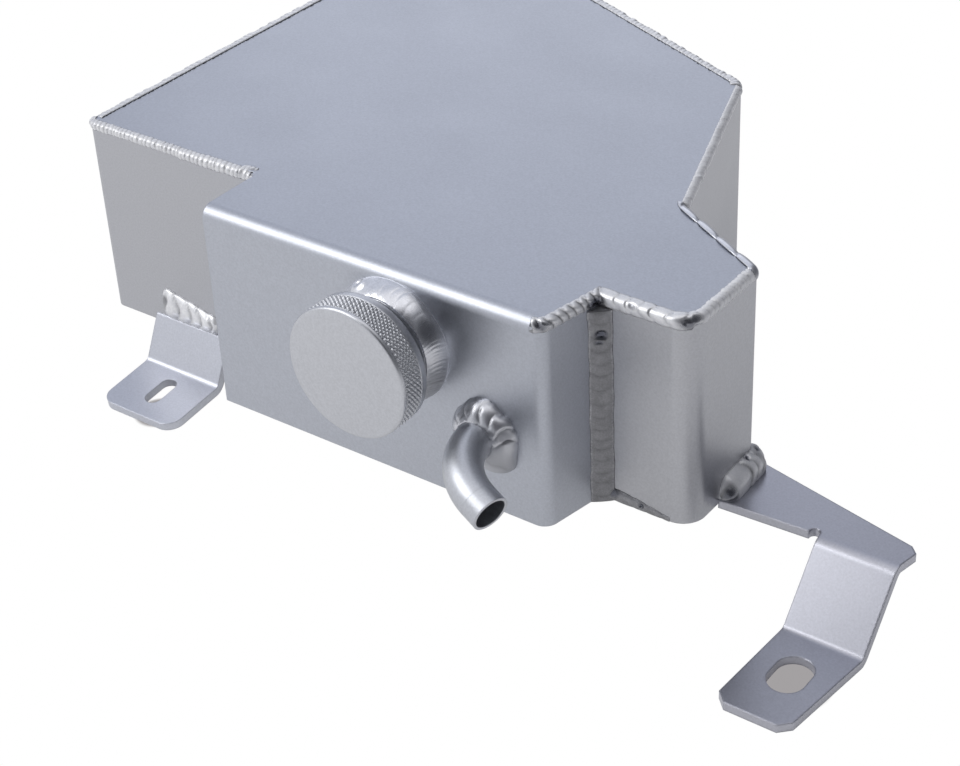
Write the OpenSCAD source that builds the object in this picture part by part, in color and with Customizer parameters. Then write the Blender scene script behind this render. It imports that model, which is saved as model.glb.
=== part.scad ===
// Coolant expansion tank: a welded sheet aluminium box with a screw cap, a bent
// hose spigot and two folded mounting brackets.
// The plan is measured from the left end of the front face. The tank lies with its
// large flat plate up, and its front face looks along -Y.

/* [Tank body] */
// Height of the tank over its top plate and base plate
tank_h = 75; // [70:1:110]
// Thickness of the sheet
sheet_t = 2.5; // [2:0.1:3]
// Width of the front face, from its left end to the step
front_w = 133.5; // [131:0.5:180]
// Distance of the step's face behind the front face
step_depth = 24; // [18:0.5:34]
// Sideways lean of the short wall that joins the front face to the step
step_lean = 4.5; // [0:0.5:8]
// Width of the step's face
step_w = 33; // [26:0.5:60]
// Length of the straight wall right of the step
side_l = 37; // [34:0.5:60]
// Distance by which the waist lies inside the straight right wall
waist_in = 39; // [30:0.5:50]
// Length of the slanted wall between the right wall and the waist, along Y
shoulder_l = 22; // [15:0.5:35]
// Distance by which the tail lies left of the waist
tail_in = 30.5; // [15:0.5:45]
// Length of the wall from the waist to the tail, along Y
tail_l = 87.6; // [70:0.5:120]
// Length of the long slanted rear wall, along Y
rear_rise = 78; // [60:0.5:100]
// Width of the set-back wing left of the front face
wing_w = 79; // [64:0.5:110]
// Distance of the wing's wall behind the front face
wing_back = 26.3; // [20:0.1:40]

/* [Folds] */
// Outer radius of the fold between the top plate and the front face
fold_r = 4.5; // [4:0.1:7]
// Outer radius of the bend at the right end of the front face
front_bend_r = 5; // [4:0.1:8]
// Outer radius of the bend at the right end of the step's face
side_bend_r = 8; // [4:0.1:12]
// Outer radius of the bend at the rear end of the straight right wall
shoulder_bend_r = 4; // [4:0.1:8]
// Radius of the outer face in the hollow bend at the waist
waist_bend_r = 4; // [2:0.1:8]
// Outer radius of the bend at the tail
tail_bend_r = 8; // [4:0.1:14]
// Outer radius of the bend at the far left corner
far_bend_r = 12; // [5:0.5:20]
// Outer radius of the bend at the left end of the wing
wing_bend_r = 4; // [4:0.1:8]
// Radius of the outer face in the hollow bend between the wing and the front face
inner_bend_r = 1.5; // [1:0.1:5]

/* [Filler neck and cap] */
// Distance of the neck's axis from the right end of the front face
neck_inset = 56; // [54:0.5:70]
// Height of the neck's axis above the base
neck_z = 51; // [40:0.5:51]
// Outer radius of the collar that is welded to the front face
collar_r = 18.6; // [18.1:0.1:18.9]
// Length of the collar in front of the front face
collar_l = 8; // [7:0.1:9]
// Outer radius of the neck's threaded end
thread_r = 17; // [16.5:0.1:17.2]
// Radius of the bore that the coolant is poured into
neck_bore_r = 14; // [10:0.1:14.5]
// Distance of the neck's rim in front of the front face
neck_l = 18; // [16:0.5:24]
// Thickness of the flat seal in the cap
seal_t = 1.5; // [1:0.1:2.5]
// Radial clearance between the cap's bore and the neck's thread
thread_clearance = 0.3; // [0.2:0.05:0.5]
// Outer radius of the cap over the tips of its knurl
cap_r = 22.7; // [21:0.1:24]
// Thickness of the cap's closed end
cap_end_t = 4.5; // [3:0.1:8]
// Distance of the cap's rear rim in front of the front face
cap_gap = 12.2; // [11:0.1:13]
// Width of the knurled band
knurl_w = 7.2; // [4:0.1:7.5]
// Depth of the knurl
knurl_depth = 0.6; // [0.3:0.05:0.8]

/* [Hose spigot] */
// Distance of the spigot's root from the right end of the front face
spigot_inset = 22; // [20:0.5:24]
// Height of the spigot's root above the base
spigot_z = 29; // [24:0.5:32]
// Outer radius of the spigot's tube
spigot_r = 6.35; // [5.5:0.05:7]
// Wall thickness of the spigot's tube
spigot_wall = 1; // [0.8:0.1:1.5]
// Straight length of the spigot in front of the front face, before its bend
spigot_root_l = 4.5; // [4.5:0.1:8]
// Radius of the spigot's bend, to the middle of the tube
spigot_bend_r = 21; // [18:0.5:30]
// Angle that the spigot is bent through
spigot_angle = 76; // [60:1:90]
// Angle by which the bent end points below the horizontal
spigot_dip = 18.5; // [0:0.5:30]
// Straight length of the spigot after its bend
spigot_end_l = 6; // [5:0.5:20]
// Length of the spigot's stub inside the tank
spigot_stub_l = 10; // [8:0.5:16]

/* [Pickup tube] */
// Wall thickness of the pickup tube
pickup_wall = 1; // [0.6:0.1:1.4]
// Radial clearance of the pickup tube in the spigot's stub
pickup_clearance = 0.05; // [0.02:0.01:0.1]
// Length of the pickup tube that sits inside the stub
pickup_seat_l = 6; // [4:0.5:8]
// Straight length of the pickup tube before its bend
pickup_lead_l = 30; // [24:1:36]
// Radius of the pickup tube's bend, to the middle of the tube
pickup_bend_r = 30; // [20:1:40]
// Angle that the pickup tube is bent through, towards the tank's far corner
pickup_angle = 45; // [45:0.5:47]
// Straight length of the pickup tube after its bend
pickup_reach_l = 180; // [120:1:185]

/* [Left bracket] */
// Thickness of both brackets' flat bar
bar_t = 3; // [2.5:0.1:4]
// Inner radius of both brackets' folds
bar_bend_r = 2.5; // [2:0.1:4]
// Width of the left bracket
left_w = 34.7; // [28:0.1:38]
// Distance of the left bracket from the wing's left wall
left_inset = 21.5; // [12:0.5:24]
// Height above the base at which the left bracket's face meets the wall
left_root_z = 3.2; // [2:0.1:8]
// Lean of the left bracket's upper plate from the vertical
left_lean = 26.5; // [20:0.5:35]
// Length of the left bracket's upper plate, along its front face
left_plate_l = 18.3; // [16:0.1:30]
// Fall of the left bracket's flange towards its front
left_fall = 6.5; // [0:0.5:10]
// Length of the left bracket's flange
left_flange_l = 25.3; // [23:0.1:40]
// Radius of the left flange's front corners
left_corner_r = 6; // [3:0.1:8]
// Width of the left bracket's slot
left_slot_w = 6.5; // [4.5:0.1:9]
// Length of the left bracket's slot, end to end
left_slot_l = 14; // [10:0.1:17]

/* [Right bracket] */
// Distance of the right arm's front edge behind the front face
arm_y = 39.3; // [36:0.1:42]
// Width of the right arm where it leaves the wall
arm_root_w = 26; // [25:0.5:30]
// Height of the arm's top face above the base
arm_top = 1.5; // [0:0.1:3]
// Reach of the right arm from the wall to the sloping plate's outer edge
arm_reach = 62; // [56:0.5:80]
// Width of the right bracket's sloping plate
right_w = 27.2; // [24:0.1:32]
// Setting back of the arm's front edge at the sloping plate
arm_back = 2; // [0:0.1:2.4]
// Width of the arm's outer end, in front of its clipped corner
arm_end_w = 9.5; // [7:0.1:12]
// Length by which the arm's outer end passes the sloping plate
arm_over = 1.4; // [0:0.1:3]
// Size of the clipped corner of the arm's outer end
arm_clip = 2.6; // [1:0.1:5]
// Lean of the sloping plate from the vertical
right_lean = 41; // [30:0.5:50]
// Drop of the right flange's top face below the arm's top face
right_drop = 21.9; // [16:0.1:30]
// Length of the right flange
right_flange_l = 38.5; // [34:0.5:50]
// Narrowing of the right flange towards its front
right_taper = 2.4; // [0:0.1:4]
// Sideways shift of the right flange's front end
right_shift = 2.8; // [0:0.1:4]
// Size of the clipped corners of the right flange
right_clip = 3.6; // [2:0.1:5]
// Width of the right bracket's slot
right_slot_w = 12; // [8:0.1:13]
// Length of the right bracket's slot, end to end
right_slot_l = 17; // [14:0.1:22]
// Radius of the relief notch beside the fold
notch_r = 1.8; // [1:0.1:2.5]

/* [Welds] */
// Width of the top seams on the plate
seam_w = 2.8; // [2:0.1:4]
// Height of the top seams on the walls
seam_leg = 4.6; // [4:0.1:6]
// Crown of the top seams above the chord between their toes
seam_crown = 3.9; // [3.5:0.1:4.4]
// Length of one ripple in the broad beads at the step
broad_pitch = 4; // [3.5:0.1:6]
// Length of one ripple in the lumpy bead at the shoulder
lump_pitch = 8; // [6:0.5:14]
// Length of one ripple in the fine beads
fine_pitch = 3; // [2.8:0.1:5]
// Length of one ripple in the flat beads
flat_pitch = 8; // [6:0.5:14]
// Width on each wall of the upright bead in the step's corner
corner_leg = 5; // [4:0.1:6]
// Crown of the upright bead in the step's corner
corner_crown = 1; // [0.5:0.1:2]
// Distance of the upright seam on the left side from the far corner's bend
far_tab = 12; // [6:0.5:30]
// Width of the upright seam on the left side
far_bead_w = 6; // [4:0.1:8]
// Crown of the upright seam on the left side
far_bead_crown = 1.2; // [0.8:0.1:2]
// Width of the bead round the neck on the front face
neck_bead_w = 2.7; // [2:0.1:3]
// Height of the bead round the neck
neck_bead_h = 6; // [4:0.1:6.5]
// Width of the bead round the spigot's root on the front face
spigot_bead_w = 6.8; // [4:0.1:7]
// Height of the bead round the spigot's root
spigot_bead_h = 4.5; // [3:0.1:4.5]
// Height of the left bracket's bead above the bar at its left end
left_bead_h = 9; // [6:0.1:12]
// Height above the base of the right bracket's bead on the wall
right_bead_h = 8; // [5:0.1:9]
// Width of both bracket beads on the bar
bar_bead_w = 4.5; // [3:0.1:5]
// Crown of both bracket beads
bar_bead_crown = 2; // [1:0.1:3]
// Depth and width of the flush seam round the base plate
base_seam = 1.2; // [0.8:0.1:1.6]
// Height of the repair bead at the foot of the step's face
foot_bead_w = 4.5; // [3:0.1:6]
// Crown of the repair bead at the foot of the step's face
foot_bead_crown = 1.2; // [0.8:0.1:2]

/* [Hidden] */
$fn = 64;
// Length by which a cut passes the face that it opens
overrun = 1;
// Gap round a piece that is cut to fit inside another
fit_gap = 0.05;
// Lap of the top plate on the walls' upper edges
lap = sheet_t / 2;
// Height of the walls under the top plate
wall_h = tank_h - sheet_t;
// Inner radius of the fold between the top plate and the front face
fold_in = fold_r - sheet_t;
// Datum on the base that the model is placed by
datum = [front_w / 2, wing_back, 0];

// Corners of the plan, counter-clockwise from the left end of the front face
FRONT_LEFT = 0;
FRONT_RIGHT = 1;
STEP = 2;
SIDE = 3;
SHOULDER = 4;
WAIST = 5;
TAIL = 6;
FAR = 7;
WING = 8;
INNER = 9;
step_x = front_w + step_lean;
right_x = step_x + step_w;
neck_x = front_w - neck_inset;
spigot_x = front_w - spigot_inset;
shoulder_y = step_depth + side_l;
waist = [right_x - waist_in, shoulder_y + shoulder_l];
tail = waist + [-tail_in, tail_l];
plan = [[0, 0], [front_w, 0], [step_x, step_depth], [right_x, step_depth],
        [right_x, shoulder_y], waist, tail, [-wing_w, tail[1] + rear_rise],
        [-wing_w, wing_back], [0, wing_back]];
// Radius of each corner. The front left corner and the step are sharp.
bends = [0, front_bend_r, 0, side_bend_r, shoulder_bend_r, waist_bend_r, tail_bend_r,
         far_bend_r, wing_bend_r, inner_bend_r];
// Largest turn of one straight piece that stands for a part of a bend in a plate's edge
bend_step = 16;
// Turn of one step of a drawn bend
arc_step = 6;

// Directions and bends of the plan
function unit(v) = v / norm(v);
function outward(v) = [v[1], -v[0]];
function spoke(a) = [cos(a), sin(a)];
function wrap(i) = (i + len(plan)) % len(plan);
function dir_in(i) = unit(plan[i] - plan[wrap(i - 1)]);
function dir_out(i) = unit(plan[wrap(i + 1)] - plan[i]);
function turn(i) = atan2(cross(dir_in(i), dir_out(i)), dir_in(i) * dir_out(i));
function hand(i) = sign(turn(i));
function pieces(i) = ceil(abs(turn(i)) / bend_step);
function bend_cut(i) = bends[i] * tan(abs(turn(i)) / 2);
function run_start(i) = plan[i] + bend_cut(i) * dir_out(i);
function run_end(i) = plan[wrap(i + 1)] - bend_cut(wrap(i + 1)) * dir_out(i);
function bend_middle(i) = plan[i] - bend_cut(i) * dir_in(i)
                          - hand(i) * bends[i] * outward(dir_in(i));
function bend_from(i) = let (v = hand(i) * outward(dir_in(i))) atan2(v[1], v[0]);
// Move of a corner between two directions, when both of its faces move out by one
function mitre(a, b) = (outward(a) + outward(b)) / (1 + outward(a) * outward(b));

// Points of corner i, a distance d inside the outer faces. The pieces of a bulging
// bend touch it from outside, and those of a hollow bend span it.
function corner_points(i, d) =
    let (n = pieces(i), half = abs(turn(i)) / n / 2)
    bends[i] == 0 ? [plan[i] - d * mitre(dir_in(i), dir_out(i))] :
    hand(i) > 0 ? [for (k = [0:n - 1]) bend_middle(i)
        + (bends[i] - d) / cos(half) * spoke(bend_from(i) + turn(i) * (k + 1 / 2) / n)] :
    [for (k = [0:n]) bend_middle(i)
        + (bends[i] + d / cos(half)) * spoke(bend_from(i) + turn(i) * k / n)];
// Points of corner i on its true arc, a distance d inside the outer faces
function arc_points(i, d) = let (n = ceil(abs(turn(i)) / arc_step))
    bends[i] == 0 ? corner_points(i, d) :
    [for (k = [0:n]) bend_middle(i)
        + (bends[i] - hand(i) * d) * spoke(bend_from(i) + turn(i) * k / n)];
function arc_plan(d) = [for (i = [0:len(plan) - 1]) each arc_points(i, d)];

// Point of the straight wall from corner i, a length s along it and d inside its face
function run_point(i, s, d) = run_start(i) + s * dir_out(i) - d * outward(dir_out(i));
// Outline of a folded strip: the points of its outer face, then of its inner face
function reversed(p) = [for (k = [len(p) - 1:-1:0]) p[k]];
// Points of an arc about m, of radius r, from angle a to angle b
function arc(m, r, a, b) = let (n = ceil(abs(b - a) / arc_step))
    [for (k = [0:n]) m + r * spoke(a + (b - a) * k / n)];

module placed() {
    translate(-datum) children();
}

// A rod whose axis leaves the front face square at [x, z]
module from_front(x, z, y0, y1, r) {
    translate([x, y0, z]) rotate([-90, 0, 0]) cylinder(h = y1 - y0, r = r);
}

// Top plate, front face and short return wall, folded from one sheet
fold_end = run_end(FRONT_LEFT);
pilot_r = thread_r - fit_gap;
plate_lap = fold_r + sheet_t;
plate_outline = concat([[0, fold_r], [fold_end[0], fold_r], [fold_end[0], lap]],
                       [for (i = [FRONT_RIGHT:WING]) each corner_points(i, lap)],
                       [run_end(WING) + [0, lap]], corner_points(INNER, 0));
fold_middle = [fold_r, tank_h - fold_r];
fold_profile = concat([[0, 0]], arc(fold_middle, fold_r, 180, 90),
                      [[plate_lap, tank_h], [plate_lap, wall_h]],
                      arc(fold_middle, fold_in, 90, 180), [[sheet_t, 0]]);
function return_wall(d) = concat([[fold_end[0] - sheet_t, d]], arc_points(FRONT_RIGHT, d),
                                 corner_points(STEP, d));

module top_front_sheet() {
    color("lightsteelblue")
        placed()
            difference() {
                union() {
                    translate([0, 0, wall_h]) linear_extrude(sheet_t) polygon(plate_outline);
                    rotate([90, 0, 90]) linear_extrude(fold_end[0]) polygon(fold_profile);
                    linear_extrude(tank_h - fold_r)
                        polygon(concat(return_wall(0), reversed(return_wall(sheet_t))));
                    return_top();
                }
                from_front(neck_x, neck_z, -overrun, sheet_t + overrun, pilot_r + fit_gap);
                from_front(spigot_x, spigot_z, -overrun, sheet_t + overrun, spigot_r + fit_gap);
            }
}

// Upper edge of the return wall, beside the fold's end
module return_top() {
    function top_line(d) = concat(arc_points(FRONT_RIGHT, d), corner_points(STEP, d));
    translate([0, 0, wall_h - fold_r])
        linear_extrude(fold_r)
            polygon(concat(top_line(0), reversed(top_line(sheet_t))));
}

// Right-hand wall, one strip from the step round the tail and the far corner
module right_wall_strip() {
    function line(d) = concat(corner_points(STEP, d),
                              [for (i = [SIDE:FAR]) each arc_points(i, d)],
                              [run_point(FAR, far_tab, d)]);
    color("silver")
        placed()
            linear_extrude(wall_h) polygon(concat(line(0), reversed(line(sheet_t))));
}

// Left-hand wall, one strip from the right one's end round the wing to the front face
module left_wall_strip() {
    function line(d) = concat([run_point(FAR, far_tab, d)], arc_points(WING, d),
                              arc_points(INNER, d), [[d, sheet_t]]);
    color("silver")
        placed()
            difference() {
                linear_extrude(wall_h) polygon(concat(line(0), reversed(line(sheet_t))));
                difference() {
                    translate([-overrun, sheet_t - overrun, wall_h - fold_in])
                        cube([sheet_t + 2 * overrun, fold_in + overrun, fold_in + overrun]);
                    translate([-2 * overrun, fold_r, tank_h - fold_r])
                        rotate([0, 90, 0]) cylinder(h = sheet_t + 4 * overrun, r = fold_in);
                }
            }
}

// Base plate, set inside the walls with a rebate for its flush seam
module base_plate() {
    color("silver")
        placed() {
            linear_extrude(base_seam) polygon(arc_plan(sheet_t + base_seam));
            translate([0, 0, base_seam])
                linear_extrude(sheet_t - base_seam) polygon(arc_plan(sheet_t + fit_gap));
        }
}

// Turned filler neck: pilot in the wall, collar on it and threaded end
module filler_neck() {
    pilot_l = 1.4 * sheet_t;
    color("gainsboro")
        placed()
            difference() {
                union() {
                    from_front(neck_x, neck_z, -collar_l, 0, collar_r);
                    from_front(neck_x, neck_z, -neck_l, -collar_l, thread_r);
                    from_front(neck_x, neck_z, 0, pilot_l, pilot_r);
                }
                from_front(neck_x, neck_z, -neck_l - overrun, pilot_l + overrun, neck_bore_r);
            }
}

// Flat rubber seal between the neck's rim and the cap's closed end
module cap_seal() {
    color("dimgray")
        placed()
            difference() {
                from_front(neck_x, neck_z, -neck_l - seal_t, -neck_l, thread_r);
                from_front(neck_x, neck_z, -neck_l - seal_t - overrun, -neck_l + overrun,
                           neck_bore_r);
            }
}

// Solid through a list of rings of points. The rings of a closed one meet again.
module sweep(rings, closed = false) {
    n = len(rings[0]);
    m = len(rings);
    last = closed ? m - 1 : m - 2;
    sides = [for (k = [0:last]) for (j = [0:n - 1])
        let (a = k * n + j, b = k * n + (j + 1) % n,
             c = ((k + 1) % m) * n + (j + 1) % n, d = ((k + 1) % m) * n + j)
        each [[a, b, c], [a, c, d]]];
    ends = closed ? [] : [[for (j = [n - 1:-1:0]) j], [for (j = [0:n - 1]) (m - 1) * n + j]];
    polyhedron(points = [for (r = rings) each r], faces = concat(sides, ends), convexity = 6);
}

// Band of raised diamonds round the cap, between its two smooth rims
diamonds_round = 66;
diamond_rows = 8;
cap_front = -neck_l - seal_t - cap_end_t;
cap_l = -cap_front - cap_gap;
cap_chamfer = knurl_depth;
knurl_root_r = cap_r - knurl_depth;
knurl_core_r = knurl_root_r - knurl_depth / 2;
knurl_start = (cap_l - knurl_w) * 0.4;
rear_band_r = cap_r - knurl_depth / 2;
cap_bore_r = thread_r + thread_clearance;

function knurl_r(row, col) = row == 0 || row == diamond_rows
                             ? (knurl_root_r + knurl_core_r) / 2
                             : (row + col) % 2 == 1 ? knurl_root_r : cap_r;

module knurl_band() {
    cols = 2 * diamonds_round;
    inner = [for (row = [0, diamond_rows]) [for (col = [0:cols - 1])
        concat((knurl_core_r - knurl_depth) * spoke(-360 * col / cols),
               knurl_w * row / diamond_rows)]];
    outer = [for (row = [0:diamond_rows]) [for (col = [0:cols - 1])
        concat(knurl_r(row, col) * spoke(-360 * col / cols), knurl_w * row / diamond_rows)]];
    sweep(concat([inner[0]], outer, [inner[1]]), closed = true);
}

// Turned screw cap with a knurled band
module filler_cap() {
    color("gainsboro")
        placed()
            translate([neck_x, cap_front, neck_z])
                rotate([-90, 0, 0]) {
                    rotate_extrude()
                        polygon([[0, 0], [knurl_root_r - cap_chamfer, 0],
                                 [knurl_root_r, cap_chamfer], [knurl_root_r, knurl_start],
                                 [knurl_core_r, knurl_start],
                                 [knurl_core_r, knurl_start + knurl_w],
                                 [rear_band_r, knurl_start + knurl_w],
                                 [rear_band_r, cap_l - cap_chamfer],
                                 [rear_band_r - cap_chamfer, cap_l], [cap_bore_r, cap_l],
                                 [cap_bore_r, cap_end_t], [0, cap_end_t]]);
                    translate([0, 0, knurl_start]) knurl_band();
                }
}

// Bent tube that the coolant hose is pushed on
module hose_spigot() {
    color("silver")
        placed()
            translate([spigot_x, 0, spigot_z])
                rotate([0, spigot_dip, 0])
                    bent_tube(spigot_r, spigot_wall, spigot_bend_r, spigot_angle,
                              spigot_stub_l + sheet_t, spigot_root_l, spigot_end_l);
}

// Tube with its root at the origin, where it runs from +Y to -Y. Its bend turns to +X.
// Both straight ends are drawn down by a small step, as after a bending mandrel.
bend_step_r = 0.03;

module bent_tube(r, wall, bend_r, angle, stub, root_l, end_l) {
    difference() {
        bent_rod(r, -bend_step_r, bend_r, angle, stub, root_l, end_l);
        bent_rod(r - wall, bend_step_r, bend_r, angle, stub + overrun, root_l,
                 end_l + overrun);
    }
}

module bent_rod(r, step, bend_r, angle, stub, root_l, end_l) {
    reach = overrun / 2;
    translate([0, stub, 0])
        rotate([90, 0, 0]) cylinder(h = stub + root_l + reach, r = r + step);
    translate([bend_r, -root_l, 0]) {
        rotate(180) rotate_extrude(angle = angle) translate([bend_r, 0]) circle(r);
        rotate(180 + angle)
            translate([bend_r, -reach, 0])
                rotate([-90, 0, 0]) cylinder(h = end_l + reach, r = r + step);
    }
}

// Inner tube that draws from the far corner, the lowest when the cap stands upright
pickup_r = spigot_r - spigot_wall - bend_step_r - pickup_clearance;

module pickup_tube() {
    color("gray")
        placed()
            translate([spigot_x, sheet_t + spigot_stub_l - pickup_seat_l, spigot_z])
                rotate([0, 0, 180])
                    bent_tube(pickup_r, pickup_wall, pickup_bend_r, pickup_angle,
                              0, pickup_lead_l, pickup_reach_l);
}

// A slot of width w and length l along Y, its middle at the origin
module slot_shape(w, l) {
    translate([-w / 2, -(l - w) / 2]) square([w, l - w]);
    for (s = [-1, 1]) translate([0, s * (l - w) / 2]) circle(w / 2);
}

// Left bracket: leaning upper plate, fold and slotted flange
left_x = -wing_w + left_inset;
left_fold = 90 - left_lean - left_fall;
left_cut = bar_bend_r * tan(left_fold / 2);
// Directions down the plate's front face and square out of it, in Y and Z
left_down = [-sin(left_lean), -cos(left_lean)];
left_face = [-cos(left_lean), sin(left_lean)];
// The same along the flange and out of its top face
left_run = [-cos(left_fall), -sin(left_fall)];
left_top = [-sin(left_fall), cos(left_fall)];
left_knee = [wing_back, left_root_z] + left_plate_l * left_down;
left_bend_middle = left_knee - left_cut * left_down + bar_bend_r * left_face;
// Distance of the left slot's middle behind the flange's middle
left_slot_back = left_flange_l * 0.045;

function left_profile() =
    let (tip = left_knee + left_flange_l * left_run)
    concat([[wing_back, left_root_z]],
           arc(left_bend_middle, bar_bend_r, -left_lean, left_fall - 90),
           [tip, tip - bar_t * left_top],
           arc(left_bend_middle, bar_bend_r + bar_t, left_fall - 90, -left_lean),
           [[wing_back, left_root_z - bar_t / sin(left_lean)]]);

module left_bracket() {
    color("lightslategray")
        placed()
            translate([left_x, 0, 0])
                difference() {
                    rotate([90, 0, 90]) linear_extrude(left_w) polygon(left_profile());
                    translate([0, left_knee[0], left_knee[1]])
                        rotate([left_fall, 0, 0])
                            translate([0, 0, -bar_t - overrun])
                                linear_extrude(bar_t + 2 * overrun) left_flange_cuts();
                }
}

// Slot and rounded front corners of the left flange
module left_flange_cuts() {
    r = left_corner_r;
    translate([left_w / 2, -left_flange_l / 2 + left_slot_back])
        slot_shape(left_slot_w, left_slot_l);
    for (side = [0, 1])
        translate([side * left_w, -left_flange_l])
            mirror([side, 0])
                difference() {
                    translate([-overrun, -overrun]) square(r + overrun);
                    translate([r, r]) circle(r);
                }
}

// Right bracket: arm coped to the wall's foot, sloping plate and slotted flange
arm_cope = 4 * bar_t;
right_x1 = right_x + arm_reach;
arm_end = right_x1 + arm_over;
right_x0 = right_x1 - right_w;
right_fold = 90 - right_lean;
right_in_cut = bar_bend_r * tan(right_fold / 2);
right_out_cut = (bar_bend_r + bar_t) * tan(right_fold / 2);
right_down = [-sin(right_lean), -cos(right_lean)];
right_face = [-cos(right_lean), sin(right_lean)];
right_knee = [arm_y, 0] + right_drop / cos(right_lean) * right_down;
arm_edge = arm_y + right_out_cut;
arm_bend_middle = [arm_edge, -bar_bend_r - bar_t];
right_bend_middle = right_knee - right_in_cut * right_down + bar_bend_r * right_face;
right_tip_y = right_knee[0] - right_flange_l;
// Place of the right slot's middle along the flange, from its fold
right_slot_share = 0.45;

function right_profile() =
    concat([[arm_edge + bar_t, 0]],
           arc(arm_bend_middle, bar_bend_r + bar_t, 90, 90 + right_fold),
           arc(right_bend_middle, bar_bend_r, -right_lean, -90),
           [[right_tip_y, right_knee[1]], [right_tip_y, right_knee[1] - bar_t]],
           arc(right_bend_middle, bar_bend_r + bar_t, -90, -right_lean),
           arc(arm_bend_middle, bar_bend_r, 90 + right_fold, 90),
           [[arm_edge + bar_t, -bar_t]]);

// Plan of the sloping plate and the flange, with the flange's taper and clipped corners
function right_plan() =
    let (x0 = right_x0 + right_taper / 2 - right_shift,
         x1 = right_x1 - right_taper / 2 - right_shift, c = right_clip)
    [[right_x0, arm_edge + bar_t], [right_x0, right_knee[0]], [x0, right_tip_y + c],
     [x0 + c, right_tip_y], [x1 - c, right_tip_y], [x1, right_tip_y + c],
     [right_x1, right_knee[0]], [right_x1, arm_edge + bar_t]];

module right_bracket() {
    color("lightslategray")
        placed() translate([0, 0, arm_top])
            difference() {
                union() {
                    intersection() {
                        translate([right_x0 - right_w, 0, 0])
                            rotate([90, 0, 90])
                                linear_extrude(3 * right_w) polygon(right_profile());
                        translate([0, 0, -right_drop - 2 * bar_t])
                            linear_extrude(right_drop + 3 * bar_t) polygon(right_plan());
                    }
                    translate([0, 0, -bar_t]) linear_extrude(bar_t) arm_shape();
                }
                translate([right_x0 + right_w / 2 - right_shift * right_slot_share,
                           right_knee[0] - right_flange_l * right_slot_share,
                           right_knee[1] - bar_t - overrun])
                    linear_extrude(bar_t + 2 * overrun) slot_shape(right_slot_w, right_slot_l);
            }
}

module arm_shape() {
    notch_x = right_x0 - notch_r;
    difference() {
        polygon([[right_x - arm_cope, arm_y], [right_x0 - 2 * notch_r, arm_y + arm_back],
                 [right_x0 - 2 * notch_r, arm_edge], [right_x1, arm_edge],
                 [arm_end, arm_y + arm_end_w],
                 [arm_end - arm_clip, arm_y + arm_end_w + arm_clip],
                 [right_x, arm_y + arm_root_w], [right_x - arm_cope, arm_y + arm_root_w]]);
        translate([notch_x, arm_edge]) circle(notch_r);
        polygon(arc_plan(0));
    }
}

// Points of a rounded crown of height h over the chord from a to b, without its ends
crown_points = 6;
function crown(a, b, h) = [for (k = [1:crown_points - 1])
    let (t = k / crown_points) a + t * (b - a) + 4 * h * t * (1 - t) * outward(unit(b - a))];

// Height of the ripples along a bead, as parts of its crown
ripple_shares = [0.86, 1.08, 1.03];
function ripple(k) = ripple_shares[k % len(ripple_shares)];

// Stations along the path p, each a point and the outward move of its mitre, with
// one ripple to every pitch of length
function path_dir(p, k) = unit(p[k + 1] - p[k]);
function path_mitre(p, k) = let (n = len(p) - 1)
    mitre(path_dir(p, max(k - 1, 0)), path_dir(p, min(k, n - 1)));
function stations(p, pitch) =
    let (n = len(p) - 1)
    concat([for (k = [0:n - 1])
        let (m = max(1, round(norm(p[k + 1] - p[k]) * len(ripple_shares) / pitch)))
        for (j = [0:m - 1])
            [p[k] + j / m * (p[k + 1] - p[k]),
             j == 0 ? path_mitre(p, k) : outward(path_dir(p, k))]],
        [[p[n], path_mitre(p, n)]]);

// A bead along stations s. Its root and its toes are points [outward, up], and its
// crown spans from the last of them to the first.
module bead(s, root, h) {
    sweep([for (k = [0:len(s) - 1])
        let (end = k == 0 || k == len(s) - 1, f = end ? ripple_shares[0] : ripple(k),
             ring = concat(root, crown(root[len(root) - 1], root[0], h * f)))
        [for (q = ring) concat(s[k][0] + q[0] * s[k][1], q[1])]]);
}

// A seam between the top plate's edge and the walls under it
module top_seam(path, pitch) {
    color("whitesmoke")
        placed()
            bead(stations(path, pitch),
                 [[-lap - seam_w, tank_h], [-lap, tank_h], [-lap, wall_h], [0, wall_h],
                  [0, tank_h - seam_leg]],
                 seam_crown);
}

module weld_top_step() {
    top_seam(concat([fold_end], corner_points(FRONT_RIGHT, 0), corner_points(STEP, 0),
                    corner_points(SIDE, 0), [run_end(SIDE)]), broad_pitch);
}

module weld_top_shoulder() {
    top_seam(concat([run_end(SIDE)], corner_points(SHOULDER, 0), corner_points(WAIST, 0)),
             lump_pitch);
}

module weld_top_tail() {
    top_seam([run_start(WAIST), run_end(WAIST)], fine_pitch);
}

module weld_top_rear() {
    top_seam(concat([run_end(WAIST)], corner_points(TAIL, 0), [run_end(TAIL)]), flat_pitch);
}

module weld_top_left() {
    top_seam(concat([run_end(TAIL)], corner_points(FAR, 0), [run_end(FAR)]), flat_pitch);
}

module weld_top_wing() {
    top_seam(concat([run_end(FAR)], corner_points(WING, 0), [run_end(WING)]), fine_pitch);
}

// Upright bead up to the top seam. Its root runs from its second toe to its first.
module upright_bead(root, h, pitch) {
    top = tank_h - seam_leg;
    n = round(top * len(ripple_shares) / pitch);
    sweep([for (k = [0:n])
        [for (q = concat(root, crown(root[len(root) - 1], root[0], h * ripple(k))))
            concat(q, top * (1 - k / n))]]);
}

module weld_step_corner() {
    color("whitesmoke")
        placed()
            upright_bead([plan[STEP] + corner_leg * dir_out(STEP), plan[STEP],
                          plan[STEP] - corner_leg * dir_in(STEP)],
                         corner_crown, broad_pitch);
}

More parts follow.
